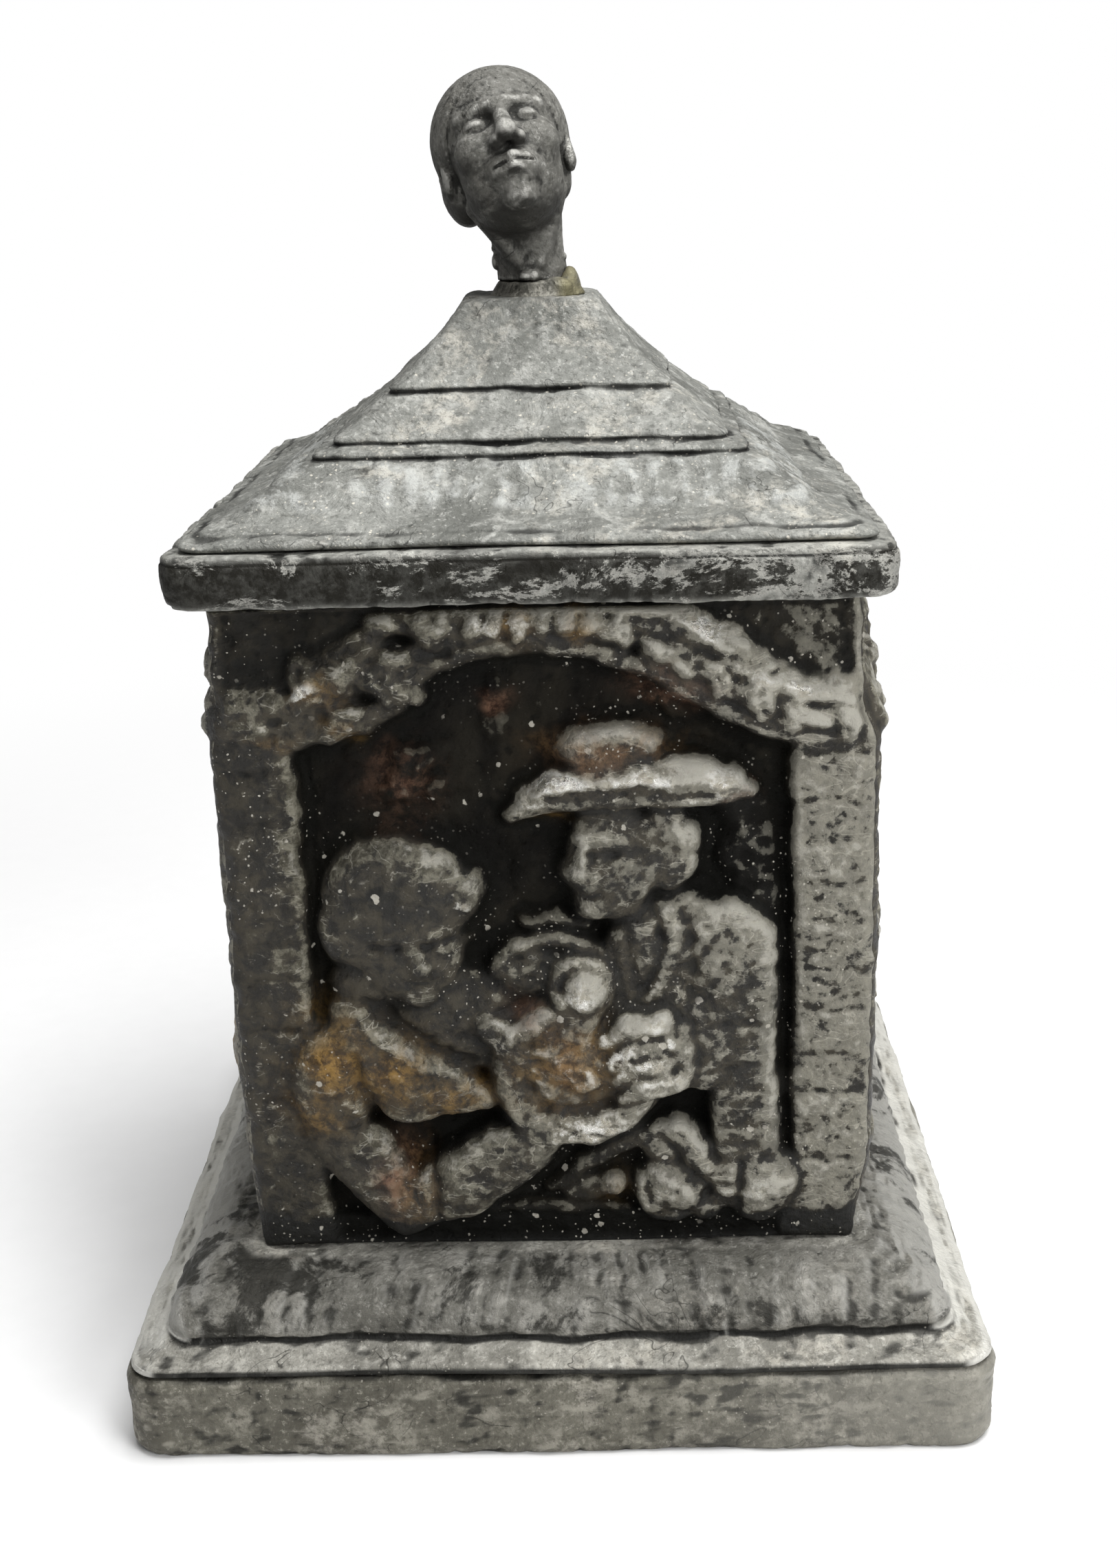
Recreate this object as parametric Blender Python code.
"""A square cast-lead tobacco box with a stepped roof lid, a head finial and a loose press plate inside.

Metres, +Z up. The origin is the centre of the underside, the front faces -Y and +X is to its right.
The lid lifts straight up off the box, and the press plate slides up and down inside it.
"""

import math

import bmesh
import bpy
from mathutils import Matrix, Vector

MM = 0.001
GAP = 0.3 * MM  # left between neighbouring castings

# Plinth: a vertical band, a sloped moulding on top of it, and a plate that closes the underside.
PLINTH_WIDTH = 122.4 * MM
BAND_HEIGHT = 12.6 * MM
BAND_WALL = 3 * MM
BAND_CORNER = 5 * MM
BOTTOM_PLATE_THICKNESS = 1.6 * MM
MOULDING_TOP = 22.5 * MM
MOULDING_WALL = 2.6 * MM
MOULDING_APRON_RISE = 2.8 * MM  # the shallow outer slope, up to the foot of the roll
MOULDING_APRON_RUN = 4.4 * MM
MOULDING_ROLL_OVERHANG = 1.6 * MM  # the roll's top edge stands this far out from the body
MOULDING_SHELF_INNER = 33 * MM

# Body: four relief panels, mitred at the corners, with a floor and a strip of solder in each corner.
BODY_WIDTH = 86.8 * MM
PANEL_HEIGHT = 95.1 * MM
PANEL_THICKNESS = 4.2 * MM  # from the face of the pillars to the inside
RECESS_DEPTH = 2.8 * MM  # the ground behind the figures, below the face of the pillars
FLOOR_THICKNESS = 2.5 * MM
CORNER_SOLDER_LEG = 3 * MM

# Lid: a rim, a stepped roof and a flange that locates it in the mouth of the box.
RIM_WIDTH = 95 * MM
RIM_HEIGHT = 7 * MM
RIM_CORNER = 3.5 * MM
RIM_BULGE = 1.5 * MM  # how far the bullnose swells out
ROOF_WALL = 2.8 * MM
FLANGE_HEIGHT = 8.9 * MM
FLANGE_WALL = 2.5 * MM
FLANGE_CLEARANCE = 0.6 * MM
# Height above the rim and distance in from the rim's face, at the top edge of each tier of the roof.
EAVE_STEP = (0.7 * MM, 2.6 * MM)
LOWER_TIER = (8.9 * MM, 17.8 * MM)
SECOND_LEDGE = (10.9 * MM, 20.5 * MM)
MIDDLE_TIER = (17.3 * MM, 28.2 * MM)
PLATEAU = (27.8 * MM, 38.9 * MM)
LEDGE_LIP = 0.6 * MM  # how far each ledge overhangs the slope above it
LOWER_TIER_SWELL = 0.08  # how far the lower slope is low by the eave and full below its ledge, as a share of it
UPPER_TIER_HOLLOW = 0.045

# Finial: a head on a leaning neck, on a pin through the roof.
PIN_RADIUS = 1.5 * MM
PIN_LENGTH = 16 * MM
PIN_BELOW_ROOF = 3 * MM  # the pin's end shows this far below the roof's inside
COLLAR_RADIUS = 7 * MM
COLLAR_HEIGHT = 2.2 * MM
NECK_RADIUS = 5.2 * MM
HEAD_HALF_WIDTH = 10.5 * MM
HEAD_HALF_HEIGHT = 12.2 * MM
HEAD_LEAN = 4 * MM  # the head's centre lies this far to the left of the pin
HEAD_CENTRE_ABOVE_PLATEAU = 20.4 * MM
HEAD_PITCH = math.radians(31)  # the face looks up
HEAD_ROLL = math.radians(-12)
SOLDER_BUTTON_RADIUS = 5 * MM
SOLDER_BUTTON_HEIGHT = 2 * MM

# Press: a loose plate that keeps the tobacco pressed, with a knob riveted to it.
PRESS_CLEARANCE = 1.4 * MM
PRESS_THICKNESS = 3 * MM
PRESS_CORNER_CUT = 5 * MM
KNOB_RADIUS = 6 * MM
KNOB_HEIGHT = 13 * MM
RIVET_RADIUS = 1.5 * MM
RIVET_HEAD_RADIUS = 3 * MM
RIVET_HEAD_THICKNESS = 0.8 * MM
RIVET_REACH = 5.4 * MM  # how far the rivet's shank goes up into the knob

# Levels and half-widths that follow from the dimensions above.
BAND_HALF = PLINTH_WIDTH / 2
BODY_HALF = BODY_WIDTH / 2
INSIDE_HALF = BODY_HALF - PANEL_THICKNESS
PANEL_FOOT = MOULDING_TOP + GAP
PANEL_TOP = PANEL_FOOT + PANEL_HEIGHT
FLOOR_TOP = PANEL_FOOT + FLOOR_THICKNESS
RIM_HALF = RIM_WIDTH / 2
RIM_FOOT = PANEL_TOP + GAP
RIM_TOP = RIM_FOOT + RIM_HEIGHT
FLANGE_HALF = INSIDE_HALF - FLANGE_CLEARANCE
FLANGE_INNER = FLANGE_HALF - FLANGE_WALL
ROOF_TOP = RIM_TOP + PLATEAU[0]
BORE_RADIUS = PIN_RADIUS + GAP

LEAD = {
    "roof_lead": ((0.34, 0.34, 0.32), 0.62, 0.55),
    "body_lead": ((0.11, 0.105, 0.09), 0.55, 0.5),
    "plinth_lead": ((0.25, 0.24, 0.21), 0.7, 0.45),
    "head_lead": ((0.14, 0.135, 0.12), 0.5, 0.6),
    "inner_lead": ((0.2, 0.2, 0.19), 0.65, 0.5),
    "solder": ((0.3, 0.3, 0.29), 0.5, 0.7),
    "pin_iron": ((0.12, 0.1, 0.09), 0.6, 0.7),
}


def make_materials():
    """One Principled material for each finish."""
    made = {}
    for name, (colour, roughness, metallic) in LEAD.items():
        material = bpy.data.materials.new(name)
        material.use_nodes = True
        shader = material.node_tree.nodes["Principled BSDF"]
        shader.inputs["Base Color"].default_value = (*colour, 1)
        shader.inputs["Roughness"].default_value = roughness
        shader.inputs["Metallic"].default_value = metallic
        made[name] = material
    return made


def make_empty(name, location):
    """An empty on a joint's axis, which the moving pieces are parented to."""
    empty = bpy.data.objects.new(name, None)
    empty.location = location
    bpy.context.scene.collection.objects.link(empty)
    return empty


def add_object(name, mesh, finish, location=(0, 0, 0), turn=0, parent=None):
    """Puts a mesh in the scene at a place in the world, turned about Z, under its parent."""
    if not mesh.materials:
        mesh.materials.append(MATERIALS[finish])
    piece = bpy.data.objects.new(name, mesh)
    piece.location = Vector(location) - (parent.location if parent else Vector())
    piece.rotation_euler = (0, 0, turn)
    piece.parent = parent
    bpy.context.scene.collection.objects.link(piece)
    return piece


def finished_mesh(name, shape, smooth_angle=math.radians(35)):
    """The mesh of a bmesh, with its faces turned outwards and its round stretches shaded smooth."""
    bmesh.ops.recalc_face_normals(shape, faces=shape.faces)
    mesh = bpy.data.meshes.new(name)
    shape.to_mesh(mesh)
    shape.free()
    mesh.shade_smooth()
    mesh.set_sharp_from_angle(angle=smooth_angle)
    return mesh


def rounded_square(half, z, radius, arc_steps=3):
    """A level square loop with round corners, counter-clockwise from above."""
    loop = []
    for corner in range(4):
        start = corner * math.pi / 2
        middle = start + math.pi / 4
        centre = Vector((math.cos(middle), math.sin(middle))) * (half - radius) * math.sqrt(2)
        for step in range(arc_steps + 1):
            angle = start + step / arc_steps * math.pi / 2
            loop.append((centre.x + radius * math.cos(angle), centre.y + radius * math.sin(angle), z))
    return loop


def circle(radius, z, centre=(0, 0), sides=24):
    """A level round loop, counter-clockwise from above."""
    angles = [2 * math.pi * side / sides for side in range(sides)]
    return [(centre[0] + radius * math.cos(a), centre[1] + radius * math.sin(a), z) for a in angles]


def loft(name, loops, ring=False):
    """Joins loops of equal length one to the next; a ring joins the last to the first, else both ends are capped."""
    shape = bmesh.new()
    rows = [[shape.verts.new(point) for point in loop] for loop in loops]
    count = len(rows[0])
    pairs = list(zip(rows, rows[1:] + rows[:1])) if ring else list(zip(rows, rows[1:]))
    for low, high in pairs:
        for i in range(count):
            j = (i + 1) % count
            shape.faces.new((low[i], low[j], high[j], high[i]))
    if not ring:
        shape.faces.new(reversed(rows[0]))
        shape.faces.new(rows[-1])
    return finished_mesh(name, shape)


def combine(piece, operand_mesh, name, operation="DIFFERENCE", location=(0, 0, 0), rotation=(0, 0, 0)):
    """Cuts a mesh from a piece, or joins it to the piece. The operand is kept out of renders and drawn as wire."""
    operand = bpy.data.objects.new(name, operand_mesh)
    operand.location = location
    operand.rotation_euler = rotation
    operand.hide_render = True
    operand.display_type = "WIRE"
    bpy.context.scene.collection.objects.link(operand)
    modifier = piece.modifiers.new(name, "BOOLEAN")
    modifier.operation = operation
    modifier.object = operand


# Plinth -------------------------------------------------------------------------------------------


def make_plinth_band():
    """The vertical band round the foot, a strip of lead with round corners."""
    inner = BAND_HALF - BAND_WALL
    edge = 0.8 * MM
    outline = [
        (BAND_HALF, 0, BAND_CORNER),
        (BAND_HALF, BAND_HEIGHT - edge, BAND_CORNER),
        (BAND_HALF - edge, BAND_HEIGHT, BAND_CORNER - edge),
        (inner, BAND_HEIGHT, BAND_CORNER - BAND_WALL),
        (inner, 0, BAND_CORNER - BAND_WALL),
    ]
    loops = [rounded_square(half, z, radius) for half, z, radius in outline]
    add_object("plinth_band", loft("plinth_band", loops, ring=True), "plinth_lead")


def make_bottom_plate():
    """The sheet that closes the underside, flush with the foot of the band."""
    half = BAND_HALF - BAND_WALL - GAP
    loops = [rounded_square(half, z, BAND_CORNER - BAND_WALL) for z in (0, BOTTOM_PLATE_THICKNESS)]
    add_object("bottom_plate", loft("bottom_plate", loops), "inner_lead")


def moulding_profile():
    """Half-width and level down the outside of the moulding: a convex roll above a shallow apron."""
    apron_half = BAND_HALF - 0.7 * MM
    apron_foot = BAND_HEIGHT + GAP
    roll_half = apron_half - MOULDING_APRON_RUN
    roll_foot = apron_foot + MOULDING_APRON_RISE
    roll_top_half = BODY_HALF + MOULDING_ROLL_OVERHANG
    outline = []
    for step in range(7):
        angle = step / 6 * math.pi / 2
        half = roll_top_half + (roll_half - roll_top_half) * math.sin(angle)
        z = roll_foot + (MOULDING_TOP - roll_foot) * math.cos(angle)
        outline.append((half, z))
    outline.append(((roll_half + apron_half) / 2, apron_foot + 0.35 * MOULDING_APRON_RISE))
    outline.append((apron_half, apron_foot + 0.5 * MM))
    outline.append((apron_half, apron_foot))
    return outline


def make_plinth_moulding():
    """The sloped casting between the band and the body, hollow below, with a shelf the body stands on."""
    outline = moulding_profile()
    outer_foot = outline[-1]
    outline.append((outer_foot[0] - 2 * MOULDING_WALL, outer_foot[1]))
    outline.append((BODY_HALF + MOULDING_WALL, MOULDING_TOP - 1.6 * MOULDING_WALL))
    outline.append((MOULDING_SHELF_INNER, MOULDING_TOP - MOULDING_WALL))
    outline.append((MOULDING_SHELF_INNER, MOULDING_TOP))
    corner_share = BAND_CORNER / BAND_HALF
    loops = [rounded_square(half, z, half * corner_share) for half, z in outline]
    add_object("plinth_moulding", loft("plinth_moulding", loops, ring=True), "plinth_lead")


# Body ---------------------------------------------------------------------------------------------


def stretched(place):
    """A place in panel units with its height in the units of its width, so that round shapes stay round."""
    return Vector((place[0], place[1] * PANEL_HEIGHT / BODY_HALF))


def dome(point, centre, half_sizes, top):
    """Height of a domed mass above the ground of the relief, or none outside it."""
    offset = point - stretched(centre)
    reach = (offset.x / half_sizes[0]) ** 2 + (offset.y / half_sizes[1]) ** 2
    return top * (1 - reach) ** BACK_POWER if reach < 1 else 0


def limb(point, start, end, radius, top):
    """Height of a round-backed limb between two places, or none outside it."""
    foot, tip = stretched(start), stretched(end)
    run = tip - foot
    share = min(1, max(0, (point - foot).dot(run) / run.length_squared))
    reach = (point - foot - share * run).length / radius
    return top * (1 - reach * reach) ** BACK_POWER if reach < 1 else 0


# The relief's masses. Places are in panel units: across from -1 to 1, up from 0 to 1. Sizes are in half-widths
# of the panel, and tops are above the ground.
DOMES = [
    ((-0.46, 0.575), (0.25, 0.2), 6 * MM),  # bowed head
    ((-0.43, 0.48), (0.16, 0.16), 5.2 * MM),  # its face
    ((-0.66, 0.51), (0.06, 0.08), 4 * MM),  # its ears
    ((-0.24, 0.575), (0.06, 0.07), 4.2 * MM),
    ((-0.3, 0.36), (0.18, 0.2), 3.2 * MM),  # chest
    ((-0.68, 0.28), (0.16, 0.19), 5.6 * MM),  # collar, left lobe
    ((-0.42, 0.275), (0.2, 0.15), 6 * MM),  # collar, right lobe
    ((0.2, 0.63), (0.14, 0.2), 4.6 * MM),  # head under the hat
    ((0.39, 0.625), (0.09, 0.16), 4.2 * MM),  # hair at the side
    ((0.215, 0.795), (0.16, 0.06), 3.9 * MM),  # crown of the hat
    ((0.36, 0.47), (0.13, 0.16), 3.4 * MM),  # lapels
    ((0.56, 0.47), (0.16, 0.18), 4.4 * MM),  # shoulder
    ((-0.06, 0.455), (0.11, 0.1), 3.4 * MM),  # far hand
    ((0.05, 0.3), (0.19, 0.22), 6.8 * MM),  # jug
    ((0.33, 0.325), (0.2, 0.15), 6.6 * MM),  # near hand
    ((0.11, 0.43), (0.085, 0.085), 7.3 * MM),  # stopper of the jug
    ((0.38, 0.085), (0.13, 0.14), 4.8 * MM),  # fruit
    ((0.66, 0.09), (0.14, 0.14), 5.2 * MM),  # fruit
    ((0.42, 0.165), (0.11, 0.08), 3.4 * MM),  # leaf
    ((-0.4, 0.76), (0.09, 0.1), 1.8 * MM),  # hanging leaf
    ((0.64, 0.62), (0.08, 0.2), 1.8 * MM),  # foliage behind the coat
]
LIMBS = [
    ((-0.07, 0.7), (0.12, 0.738), 0.055, 4.2 * MM),  # brim of the hat
    ((0.08, 0.738), (0.52, 0.738), 0.085, 5 * MM),
    ((0.59, 0.45), (0.6, 0.2), 0.11, 4.3 * MM),  # sleeve
    ((-0.66, 0.19), (-0.47, 0.07), 0.13, 5 * MM),  # upper arm
    ((-0.43, 0.08), (-0.06, 0.18), 0.12, 5.6 * MM),  # forearm
    ((-0.06, 0.2), (0.22, 0.215), 0.06, 6 * MM),  # hand under the jug
    ((-0.17, 0.37), (-0.02, 0.37), 0.06, 5 * MM),  # thumb
    ((0, 0.09), (0.33, 0.185), 0.05, 2.6 * MM),  # drapery
]
GARLAND = [(-1, 0.84), (-0.75, 0.86), (-0.58, 0.9), (-0.42, 0.955), (0, 0.97), (0.38, 0.96), (0.6, 0.885), (1, 0.84)]
GARLAND_RADIUS = 0.095
BACK_POWER = 0.6  # how round the back of a mass is: 0.5 would be an ellipse
GARLAND_TOP = 4.4 * MM
PILLAR_INNER = 0.76
PILLAR_EDGE_RUN = 0.012  # how much of the panel's half-width the step down from a pillar takes up
SILL_TOP = 0.045
SPANDREL_DEPTH = 1.2 * MM
PANEL_COLUMNS = 26  # between the pillars
PANEL_ROWS = 32  # above the sill


def ground_height(across, up):
    """Height of the ground of the relief over the face of the pillars."""
    if abs(across) >= PILLAR_INNER:
        return 0
    arch = 0.97 - 0.1 * abs(across)
    return -SPANDREL_DEPTH if up <= SILL_TOP or up > arch else -RECESS_DEPTH


def relief_height(across, up):
    """Height of the relief over the face of the pillars at a place in panel units."""
    point = stretched((across, up))
    tallest = max(dome(point, *mass) for mass in DOMES)
    tallest = max(tallest, max(limb(point, *mass) for mass in LIMBS))
    for start, end in zip(GARLAND, GARLAND[1:]):
        tallest = max(tallest, limb(point, start, end, GARLAND_RADIUS, GARLAND_TOP))
    return max(ground_height(across, up), tallest - RECESS_DEPTH)


def panel_columns():
    """Places across the panel where its surface has vertices, doubled at the edges of the pillars."""
    step = PILLAR_INNER * 2 / PANEL_COLUMNS
    middle = [-PILLAR_INNER + step * i for i in range(1, PANEL_COLUMNS)]
    pillar = [-1, -0.88, -PILLAR_INNER, PILLAR_EDGE_RUN - PILLAR_INNER]
    return pillar + middle + [-place for place in reversed(pillar)]


def panel_rows():
    """Places up the panel where its surface has vertices, doubled at the sill."""
    foot = SILL_TOP + PILLAR_EDGE_RUN
    above = [foot + (1 - foot) * i / PANEL_ROWS for i in range(PANEL_ROWS + 1)]
    return [0, SILL_TOP] + above


def make_panel_mesh(name, mirrored):
    """A relief panel with its origin at the middle of its foot, on the face of the pillars.

    Its outside faces -Y, its inside is flat, and both its sides are mitred.
    """
    side = -1 if mirrored else 1
    columns, rows = panel_columns(), panel_rows()
    outer_half = BODY_HALF - GAP * math.sqrt(0.5)
    inner_half = outer_half - PANEL_THICKNESS
    shape = bmesh.new()
    front = []
    for up in rows:
        line = []
        for across in columns:
            rim = abs(across) == 1 or up in (rows[0], rows[-1])
            height = 0 if rim else relief_height(side * across, up)
            line.append(shape.verts.new((across * outer_half, -height, up * PANEL_HEIGHT)))
        front.append(line)
    for low, high in zip(front, front[1:]):
        for i in range(len(columns) - 1):
            shape.faces.new((low[i], low[i + 1], high[i + 1], high[i]))
    corners = [(-1, 0), (1, 0), (1, 1), (-1, 1)]
    back = [shape.verts.new((x * inner_half, PANEL_THICKNESS, z * PANEL_HEIGHT)) for x, z in corners]
    shape.faces.new(back)
    shape.faces.new((*front[0], back[1], back[0]))
    shape.faces.new((*[line[-1] for line in front], back[2], back[1]))
    shape.faces.new((*reversed(front[-1]), back[3], back[2]))
    shape.faces.new((*[line[0] for line in reversed(front)], back[0], back[3]))
    return finished_mesh(name, shape)


def make_panels():
    """Front and back show the scene one way round, and the two sides show it mirrored."""
    plain = make_panel_mesh("relief_panel", mirrored=False)
    mirrored = make_panel_mesh("relief_panel_mirrored", mirrored=True)
    quarter = math.pi / 2
    for name, mesh, quarters in (
        ("front_panel", plain, 0),
        ("right_panel", mirrored, 1),
        ("back_panel", plain, 2),
        ("left_panel", mirrored, 3),
    ):
        turn = quarters * quarter
        place = (BODY_HALF * math.sin(turn), -BODY_HALF * math.cos(turn), PANEL_FOOT)
        add_object(name, mesh, "body_lead", place, turn)


def make_floor_plate():
    """The floor of the box, between the panels, on the shelf of the plinth."""
    loops = [rounded_square(INSIDE_HALF - GAP, z, 1 * MM) for z in (PANEL_FOOT, FLOOR_TOP)]
    add_object("floor_plate", loft("floor_plate", loops), "inner_lead")


def make_corner_solder():
    """The solder run up each inside corner, from the floor to just below the lid's flange."""
    low, high = FLOOR_TOP + GAP, PANEL_TOP - FLANGE_HEIGHT - 2 * MM
    leg, dip = CORNER_SOLDER_LEG, CORNER_SOLDER_LEG * 0.38
    outline = [(0, 0), (-leg, 0), (-dip, -dip), (0, -leg)]
    mesh = loft("corner_solder", [[(x, y, z) for x, y in outline] for z in (low, high)])
    reach = INSIDE_HALF - GAP
    for name, x, y, turn in (
        ("solder_back_right", 1, 1, 0),
        ("solder_back_left", -1, 1, math.pi / 2),
        ("solder_front_left", -1, -1, math.pi),
        ("solder_front_right", 1, -1, -math.pi / 2),
    ):
        add_object(name, mesh, "solder", (x * reach, y * reach, 0), turn)


# Lid ----------------------------------------------------------------------------------------------


def make_lid_rim(lid):
    """The frame round the foot of the lid, with a bullnose face."""
    loops = [rounded_square(FLANGE_INNER, z, 2 * MM) for z in (RIM_TOP, RIM_FOOT)]
    nose = RIM_HEIGHT / 2
    steps = 6
    for step in range(steps + 1):
        angle = -math.pi / 2 + math.pi * step / steps
        bulge = RIM_BULGE * math.cos(angle)
        half = RIM_HALF - RIM_BULGE + bulge
        z = RIM_FOOT + nose + nose * math.sin(angle)
        loops.append(rounded_square(half, z, RIM_CORNER + bulge))
    add_object("lid_rim", loft("lid_rim", loops, ring=True), "roof_lead", parent=lid)


def roof_outline():
    """Half-width and level up the outside of the roof, from the eave to the plateau."""
    eave_z, eave_in = EAVE_STEP
    tier_z, tier_in = LOWER_TIER
    second_z, second_in = SECOND_LEDGE
    middle_z, middle_in = MIDDLE_TIER
    top_z, top_in = PLATEAU
    places = [(eave_in, GAP), (eave_in, eave_z)]
    lower_steps, upper_steps = 8, 4
    for step in range(1, lower_steps + 1):
        share = step / lower_steps
        swell = LOWER_TIER_SWELL * math.sin(2 * math.pi * share)
        places.append((eave_in + (tier_in - eave_in) * share, eave_z + (tier_z - eave_z) * (share - swell)))
    places.append((second_in - LEDGE_LIP, tier_z + LEDGE_LIP / 3))
    places.append((second_in, second_z))
    places.append((middle_in - LEDGE_LIP, middle_z - 2 * LEDGE_LIP))
    places.append((middle_in, middle_z))
    for step in range(1, upper_steps + 1):
        share = step / upper_steps
        hollow = UPPER_TIER_HOLLOW * math.sin(math.pi * share)
        places.append((middle_in + (top_in - middle_in) * (share + hollow), middle_z + (top_z - middle_z) * share))
    return [(RIM_HALF - inset, RIM_TOP + z) for inset, z in places]


def make_lid_roof(lid):
    """The stepped roof, a hollow casting of even thickness with a hole for the finial's pin."""
    outer = roof_outline()
    corner_share = RIM_CORNER / RIM_HALF
    inner_top = (PLATEAU[1] + ROOF_WALL * 0.5, PLATEAU[0] - ROOF_WALL)
    inner_middle = (MIDDLE_TIER[1] + ROOF_WALL * 0.6, MIDDLE_TIER[0] - ROOF_WALL)
    inner_foot = (EAVE_STEP[1] + ROOF_WALL, GAP)
    inner_ledge = (LOWER_TIER[1] + ROOF_WALL * 0.6, LOWER_TIER[0] - ROOF_WALL)
    inner = [inner_top, inner_middle, inner_ledge, inner_foot]
    shell = [(RIM_HALF - inset, RIM_TOP + z) for inset, z in inner] + outer
    loops = [rounded_square(half, z, half * corner_share) for half, z in shell]
    roof = add_object("lid_roof", loft("lid_roof", loops), "roof_lead", parent=lid)
    drill = loft("drill", [circle(BORE_RADIUS, z) for z in (ROOF_TOP - 3 * ROOF_WALL, ROOF_TOP + ROOF_WALL)])
    combine(roof, drill, "roof_pin_hole")


def make_lid_flange(lid):
    """The frame soldered under the rim, which drops into the mouth of the box."""
    low, high = PANEL_TOP - FLANGE_HEIGHT, PANEL_TOP
    outer, inner = 2.4 * MM, 1 * MM
    loops = [
        rounded_square(FLANGE_HALF - 0.6 * MM, low, outer),
        rounded_square(FLANGE_HALF, low + 1.5 * MM, outer),
        rounded_square(FLANGE_HALF, high, outer),
        rounded_square(FLANGE_INNER, high, inner),
        rounded_square(FLANGE_INNER, low, inner),
    ]
    add_object("lid_flange", loft("lid_flange", loops, ring=True), "inner_lead", parent=lid)


# Finial -------------------------------------------------------------------------------------------


def make_finial_collar(lid):
    """The low collar round the foot of the neck, with a hole for the pin."""
    foot = ROOF_TOP + GAP
    top = foot + COLLAR_HEIGHT
    loops = [
        circle(COLLAR_RADIUS, foot),
        circle(COLLAR_RADIUS, foot + 0.4 * COLLAR_HEIGHT),
        circle(COLLAR_RADIUS * 0.86, top),
        circle(BORE_RADIUS, top),
        circle(BORE_RADIUS, foot),
    ]
    add_object("finial_collar", loft("finial_collar", loops, ring=True), "head_lead", parent=lid)


def make_finial_solder(lid):
    """The button of solder that holds the pin on the inside of the roof."""
    top = ROOF_TOP - ROOF_WALL - GAP
    loops = [
        circle(BORE_RADIUS, top),
        circle(SOLDER_BUTTON_RADIUS, top),
        circle(0.88 * SOLDER_BUTTON_RADIUS, top - 0.6 * SOLDER_BUTTON_HEIGHT),
        circle(0.52 * SOLDER_BUTTON_RADIUS, top - SOLDER_BUTTON_HEIGHT),
        circle(BORE_RADIUS, top - SOLDER_BUTTON_HEIGHT),
    ]
    add_object("finial_solder", loft("finial_solder", loops, ring=True), "solder", parent=lid)


def make_finial_pin(lid):
    """The iron pin cast into the neck."""
    low = ROOF_TOP - ROOF_WALL - PIN_BELOW_ROOF
    edge = 0.3 * MM
    loops = [
        circle(PIN_RADIUS - edge, low, sides=16),
        circle(PIN_RADIUS, low + edge, sides=16),
        circle(PIN_RADIUS, low + PIN_LENGTH - edge, sides=16),
        circle(PIN_RADIUS - edge, low + PIN_LENGTH, sides=16),
    ]
    add_object("finial_pin", loft("finial_pin", loops), "pin_iron", parent=lid)


def egg(name, half_sizes, detail=3):
    """An ellipsoid about its own origin."""
    shape = bmesh.new()
    bmesh.ops.create_icosphere(shape, subdivisions=detail, radius=1)
    bmesh.ops.scale(shape, vec=half_sizes, verts=shape.verts)
    return finished_mesh(name, shape, math.radians(180))


# Parts of the upright head: name, half-sizes, and place across, forward and up, all in half-widths of the head.
HEAD_FEATURES = [
    ("head_jaw", (0.64, 0.7, 0.72), (0, 0.42, -0.56)),
    ("head_chin", (0.26, 0.2, 0.2), (0, 0.92, -0.98)),
    ("head_brow", (0.56, 0.16, 0.1), (0, 0.9, 0.14)),
    ("head_nose", (0.14, 0.22, 0.27), (0, 1.14, -0.14)),
    ("head_lips", (0.27, 0.16, 0.12), (0, 1.0, -0.55)),
    ("head_ear_left", (0.12, 0.22, 0.3), (-0.96, 0, -0.16)),
    ("head_ear_right", (0.12, 0.22, 0.3), (0.96, 0, -0.16)),
    ("head_hair", (0.99, 1.02, 0.86), (0, -0.2, 0.42)),
    ("head_hair_left", (0.42, 0.6, 0.66), (-0.62, -0.5, -0.3)),
    ("head_hair_right", (0.36, 0.5, 0.56), (0.66, -0.5, -0.3)),
]


def make_finial_head(lid):
    """The head and its neck, one casting: a skull with its features and hair, on a leaning neck."""
    foot = ROOF_TOP + COLLAR_HEIGHT + 2 * GAP
    centre = Vector((-HEAD_LEAN, 0, ROOF_TOP + HEAD_CENTRE_ABOVE_PLATEAU))
    tilt = Matrix.Rotation(HEAD_ROLL, 4, "Y") @ Matrix.Rotation(-HEAD_PITCH, 4, "X")
    rotation = tilt.to_euler()

    def placed(across, forward, up):
        """A place on the upright head, in half-widths of the head, as it lies once tilted."""
        return centre + tilt @ (Vector((across, -forward, up)) * HEAD_HALF_WIDTH)

    width = HEAD_HALF_WIDTH
    skull = egg("finial_head", (width * 0.92, width * 1.06, HEAD_HALF_HEIGHT * 0.9))
    head = add_object("finial_head", skull, "head_lead", centre, parent=lid)
    head.rotation_euler = rotation
    nape = placed(0, -0.3, -0.4)
    middle = Vector((-0.1 * HEAD_LEAN, 0.3 * MM, foot + 4 * MM))
    necks = [(Vector((0, 0, foot)), 1.04), (middle, 0.98), (nape, 1.12)]
    neck = loft("neck", [circle(NECK_RADIUS * share, place.z, (place.x, place.y), 20) for place, share in necks])
    combine(head, neck, "head_neck", "UNION")
    for name, half_sizes, place in HEAD_FEATURES:
        detail = 3 if max(half_sizes) > 0.6 else 2
        shape = egg(name, [size * width for size in half_sizes], detail)
        combine(head, shape, name, "UNION", placed(*place), rotation)
    bore_top = ROOF_TOP - ROOF_WALL - PIN_BELOW_ROOF + PIN_LENGTH + GAP
    bore = loft("bore", [circle(BORE_RADIUS, z, sides=16) for z in (foot - 1 * MM, bore_top)])
    combine(head, bore, "head_bore")


# Press --------------------------------------------------------------------------------------------


def press_foot():
    """Level of the press plate's underside when it lies on the floor on the head of its rivet."""
    return FLOOR_TOP + GAP + RIVET_HEAD_THICKNESS + GAP


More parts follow.
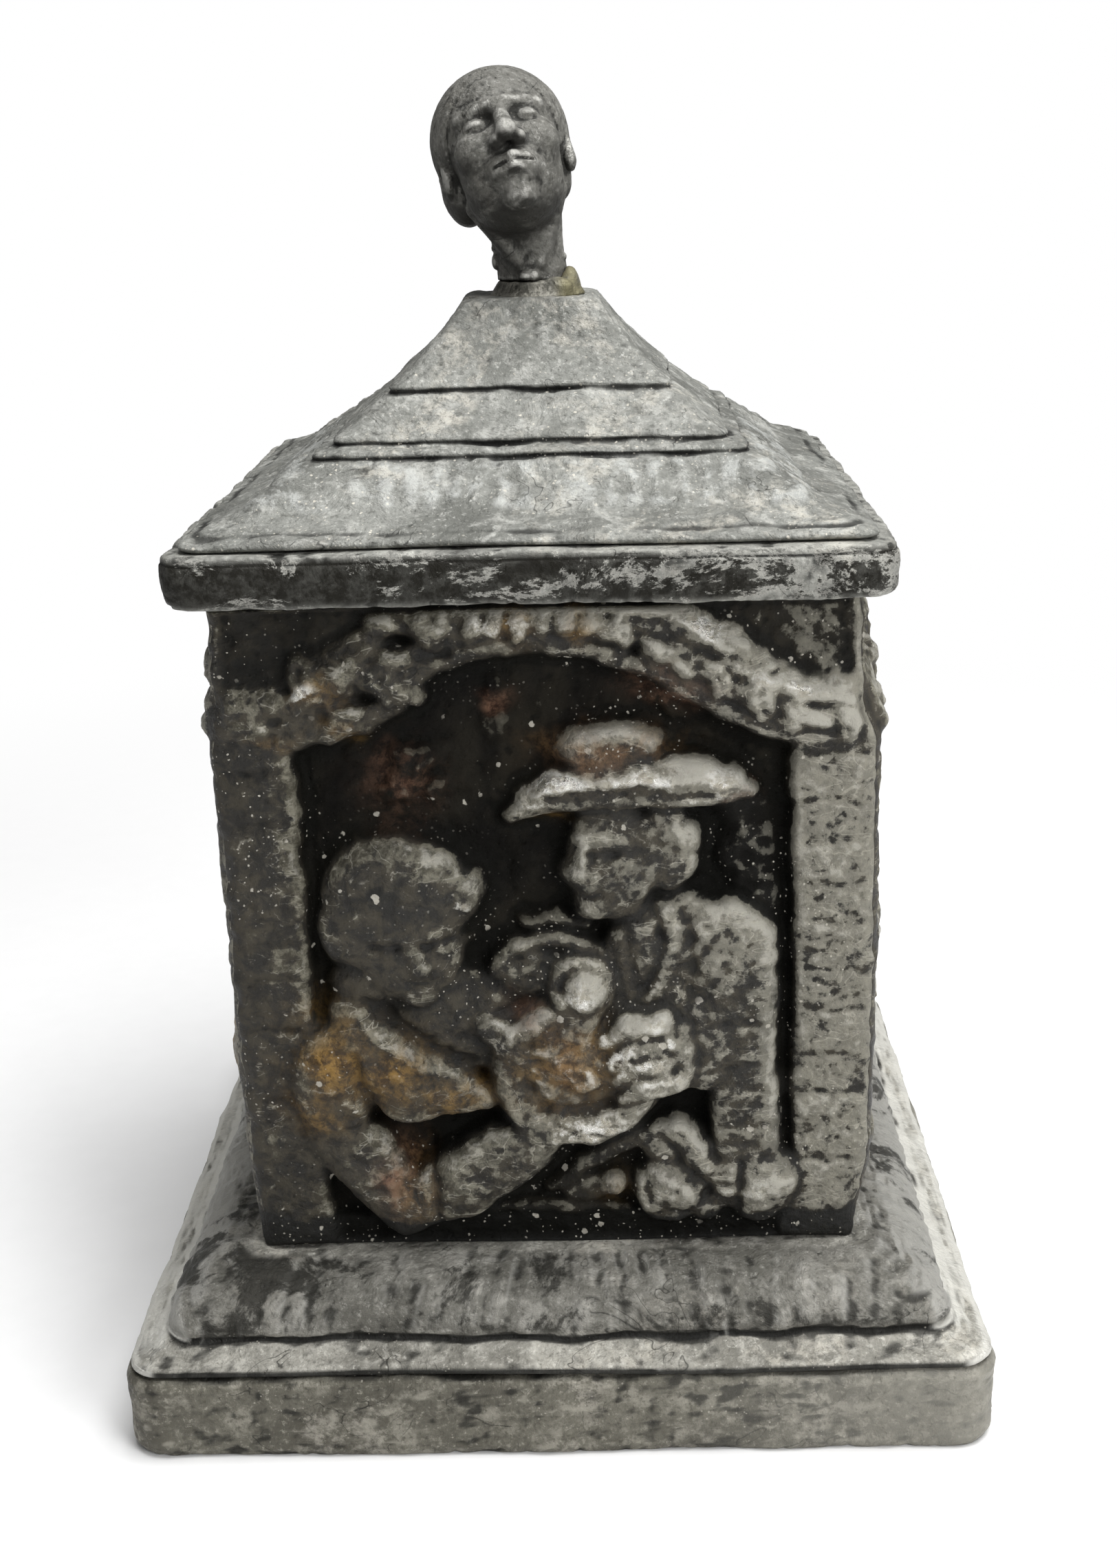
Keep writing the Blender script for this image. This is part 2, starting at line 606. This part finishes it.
def make_press_plate(press):
    """The loose plate, with its corners cut off so that it passes the solder in the corners."""
    half = INSIDE_HALF - PRESS_CLEARANCE
    near = half - PRESS_CORNER_CUT
    outline = [(half, -near), (half, near), (near, half), (-near, half)]
    outline += [(-half, near), (-half, -near), (-near, -half), (near, -half)]
    low, high = press_foot(), press_foot() + PRESS_THICKNESS
    edge = 0.5 * MM
    shrunk = (half - edge) / half
    loops = [
        [(x, y, low) for x, y in outline],
        [(x, y, high - edge) for x, y in outline],
        [(x * shrunk, y * shrunk, high) for x, y in outline],
    ]
    plate = add_object("press_plate", loft("press_plate", loops), "inner_lead", parent=press)
    drill = loft("drill", [circle(RIVET_RADIUS + GAP, z, sides=16) for z in (low - 1 * MM, high + 1 * MM)])
    combine(plate, drill, "press_rivet_hole")


def make_press_knob(press):
    """The knob that the press is lifted by, turned in one piece, with a blind bore for the rivet."""
    foot = press_foot() + PRESS_THICKNESS + GAP
    ball = KNOB_RADIUS
    ball_z = foot + KNOB_HEIGHT - ball * 0.8
    outline = [(ball * 0.95, foot), (ball * 0.85, foot + 1 * MM), (ball * 0.45, foot + 2.2 * MM)]
    for step in range(1, 9):
        angle = -math.pi / 2 + math.pi * step / 9
        outline.append((max(ball * math.cos(angle), ball * 0.45), ball_z + 0.8 * ball * math.sin(angle)))
    outline.append((ball * 0.12, ball_z + 0.8 * ball))
    loops = [circle(radius, z) for radius, z in outline]
    knob = add_object("press_knob", loft("press_knob", loops), "inner_lead", parent=press)
    bore_top = foot + RIVET_REACH + 2 * GAP
    drill = loft("drill", [circle(RIVET_RADIUS + GAP, z, sides=16) for z in (foot - 1 * MM, bore_top)])
    combine(knob, drill, "knob_bore")


def make_press_rivet(press):
    """The rivet that holds the knob: a flat head under the plate and a shank up into the knob."""
    head_foot = press_foot() - GAP - RIVET_HEAD_THICKNESS
    head_top = head_foot + RIVET_HEAD_THICKNESS
    shank_top = press_foot() + PRESS_THICKNESS + GAP + RIVET_REACH
    loops = [
        circle(RIVET_HEAD_RADIUS, head_foot, sides=16),
        circle(RIVET_HEAD_RADIUS, head_top, sides=16),
        circle(RIVET_RADIUS, head_top, sides=16),
        circle(RIVET_RADIUS, shank_top, sides=16),
    ]
    add_object("press_rivet", loft("press_rivet", loops), "pin_iron", parent=press)


for leftover in list(bpy.data.objects):
    bpy.data.objects.remove(leftover)
MATERIALS = make_materials()
lid_axis = make_empty("lid_axis", (0, 0, PANEL_TOP))
press_axis = make_empty("press_axis", (0, 0, FLOOR_TOP))

make_plinth_band()
make_bottom_plate()
make_plinth_moulding()
make_panels()
make_floor_plate()
make_corner_solder()
make_lid_rim(lid_axis)
make_lid_roof(lid_axis)
make_lid_flange(lid_axis)
make_finial_collar(lid_axis)
make_finial_solder(lid_axis)
make_finial_pin(lid_axis)
make_finial_head(lid_axis)
make_press_plate(press_axis)
make_press_knob(press_axis)
make_press_rivet(press_axis)
